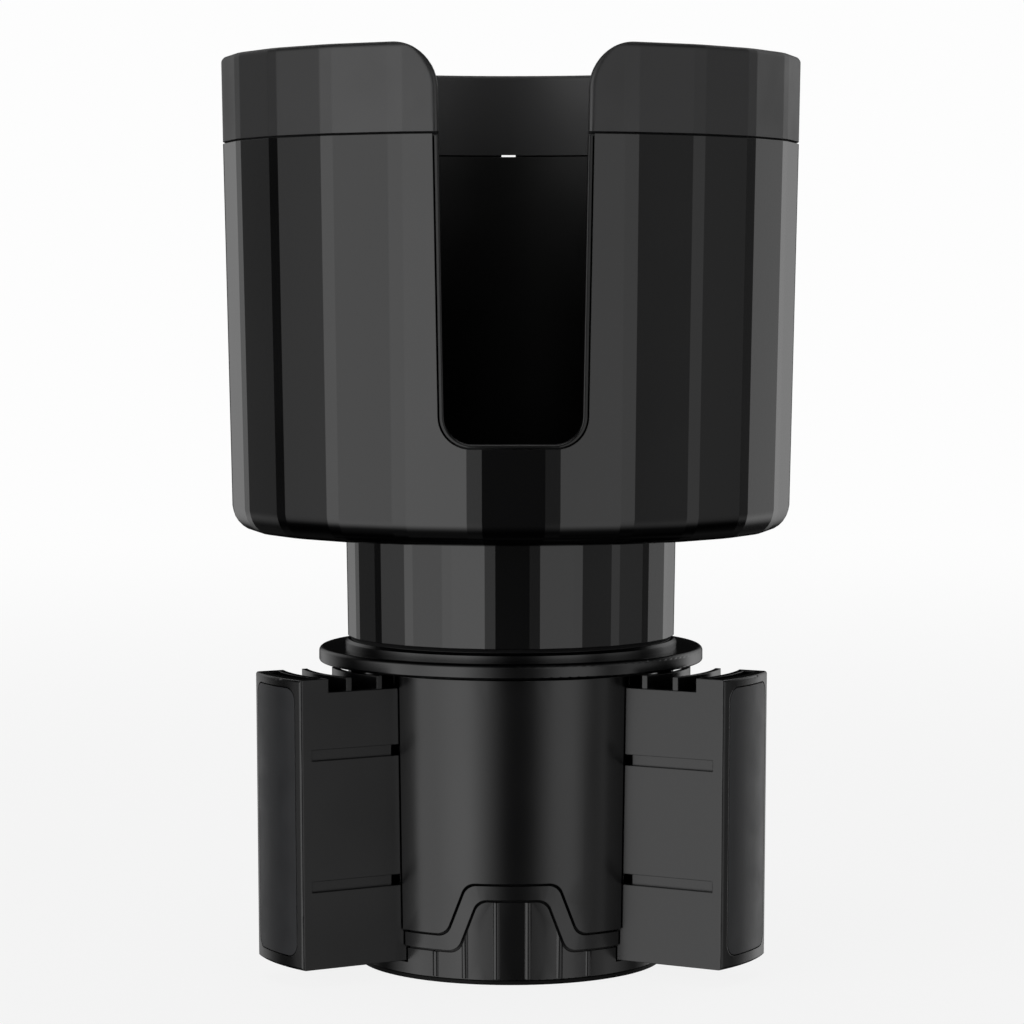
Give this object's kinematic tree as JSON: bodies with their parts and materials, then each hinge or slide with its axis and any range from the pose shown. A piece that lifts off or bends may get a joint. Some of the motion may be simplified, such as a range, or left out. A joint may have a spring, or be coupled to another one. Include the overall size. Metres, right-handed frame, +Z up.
{
  "type": "cup holder expander",
  "caption": "Faceted cup with a mug slot on a narrow neck and a round base, whose wings slide out to grip a car's cup holder as the cup is turned.",
  "frame": {"origin": "middle of the foot's resting face, on the turning axis", "axes": "+Z up along the turning axis, -Y out of the mug slot, +X to the right as seen from the slot"},
  "size_m": [0.1094, 0.108, 0.1725],
  "materials": {
    "satin_abs": "satin moulded black",
    "liner_abs": "smooth moulded black",
    "rim_elastomer": "soft matte charcoal",
    "pad_elastomer": "soft matte charcoal",
    "black_rubber": "matte black",
    "white_acetal": "smooth white",
    "zinc_steel": "zinc plated"
  },
  "bodies": {
    "base": {"base_casing": "satin_abs", "base_cap": "satin_abs", "foot_pad": "black_rubber", "cap_screws": "zinc_steel", "thrust_washer": "white_acetal", "friction_ring": "black_rubber", "pivot_washer": "zinc_steel", "pivot_screw": "zinc_steel"},
    "cup": {"scroll_flange": "satin_abs", "neck_screws": "zinc_steel", "outer_shell": "satin_abs", "inner_liner": "liner_abs", "floor_pad": "black_rubber", "rim_ring": "rim_elastomer"},
    "left_wing": {"left_wing": "satin_abs", "left_pad": "pad_elastomer"},
    "right_wing": {"right_wing": "satin_abs", "right_pad": "pad_elastomer"},
    "rear_wing": {"rear_wing": "satin_abs", "rear_pad": "pad_elastomer"}
  },
  "joints": [
    {"name": "cup_turn", "type": "hinge", "parent": "base", "child": "cup", "pos_m": [0, 0, 0.05775], "axis": [0, 0, 1], "range_deg": [0, 290]},
    {"name": "left_wing_slide", "type": "slide", "parent": "base", "child": "left_wing", "axis": [-0.866, -0.5, 0], "range_m": [-0.01451, 0]},
    {"name": "right_wing_slide", "type": "slide", "parent": "base", "child": "right_wing", "axis": [0.866, -0.5, 0], "range_m": [-0.01451, 0]},
    {"name": "rear_wing_slide", "type": "slide", "parent": "base", "child": "rear_wing", "axis": [0, 1, 0], "range_m": [-0.01451, 0]}
  ],
  "couplings": [
    {"joint": "left_wing_slide", "follows": "cup_turn", "m_per_rad": -0.0028648},
    {"joint": "right_wing_slide", "follows": "cup_turn", "m_per_rad": -0.0028648},
    {"joint": "rear_wing_slide", "follows": "cup_turn", "m_per_rad": -0.0028648}
  ]
}
